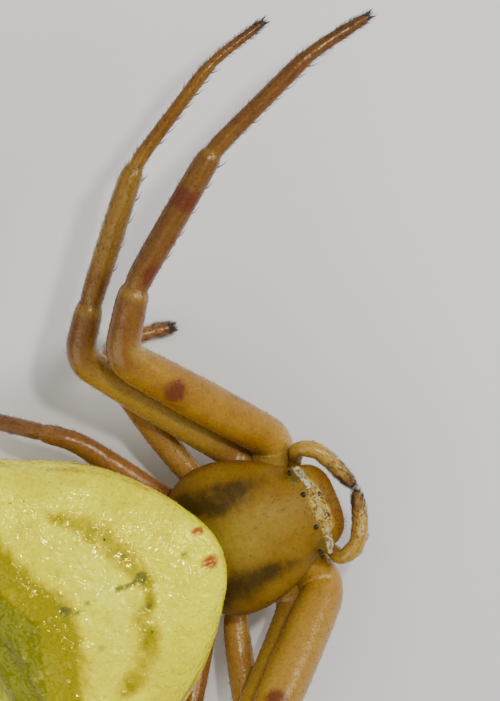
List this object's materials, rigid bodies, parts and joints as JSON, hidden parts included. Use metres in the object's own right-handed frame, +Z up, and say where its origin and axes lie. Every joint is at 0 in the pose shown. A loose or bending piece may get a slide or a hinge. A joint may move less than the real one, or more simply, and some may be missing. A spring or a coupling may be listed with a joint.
{
  "type": "crab spider figure",
  "caption": "Life-size still model of a female crab spider in its ambush pose: broad humped abdomen, low carapace, long raised front legs and short walking legs.",
  "frame": {"origin": "middle of the model's box, on the floor that the feet stand on", "axes": "-Y is the way the spider faces, +X its left side, +Z up"},
  "size_m": [0.0208, 0.0132, 0.0051],
  "materials": {
    "prosoma": "amber brown, slightly see-through living cuticle with a soft gloss",
    "legs": "yellow amber cuticle with a wet gloss and a few rust spots",
    "abdomen": "pale lemon skin, finely wrinkled, with mustard and grey-green markings",
    "eyes": "glossy black brown"
  },
  "bodies": {
    "root": {"abdomen": "abdomen", "carapace": "prosoma", "sternum": "prosoma", "mouthparts": "prosoma", "waist": "prosoma", "spinnerets": "abdomen", "chelicera_left": "prosoma", "palp_left_base": "prosoma", "palp_left_tip": "prosoma", "eye_front_middle_left": "eyes", "eye_rear_middle_left": "eyes", "eye_front_side_left": "eyes", "eye_rear_side_left": "eyes", "leg_1_left_coxa": "prosoma", "leg_1_left_femur": "legs", "leg_1_left_patella": "legs", "leg_1_left_tibia": "legs", "leg_1_left_foot": "legs", "leg_2_left_coxa": "prosoma", "leg_2_left_femur": "legs", "leg_2_left_patella": "legs", "leg_2_left_tibia": "legs", "leg_2_left_foot": "legs", "leg_3_left_coxa": "prosoma", "leg_3_left_femur": "legs", "leg_3_left_patella": "legs", "leg_3_left_tibia": "legs", "leg_3_left_foot": "legs", "leg_4_left_coxa": "prosoma", "leg_4_left_femur": "legs", "leg_4_left_patella": "legs", "leg_4_left_tibia": "legs", "leg_4_left_foot": "legs", "chelicera_right": "prosoma", "palp_right_base": "prosoma", "palp_right_tip": "prosoma", "eye_front_middle_right": "eyes", "eye_rear_middle_right": "eyes", "eye_front_side_right": "eyes", "eye_rear_side_right": "eyes", "leg_1_right_coxa": "prosoma", "leg_1_right_femur": "legs", "leg_1_right_patella": "legs", "leg_1_right_tibia": "legs", "leg_1_right_foot": "legs", "leg_2_right_coxa": "prosoma", "leg_2_right_femur": "legs", "leg_2_right_patella": "legs", "leg_2_right_tibia": "legs", "leg_2_right_foot": "legs", "leg_3_right_coxa": "prosoma", "leg_3_right_femur": "legs", "leg_3_right_patella": "legs", "leg_3_right_tibia": "legs", "leg_3_right_foot": "legs", "leg_4_right_coxa": "prosoma", "leg_4_right_femur": "legs", "leg_4_right_patella": "legs", "leg_4_right_tibia": "legs", "leg_4_right_foot": "legs"}
  },
  "joints": []
}
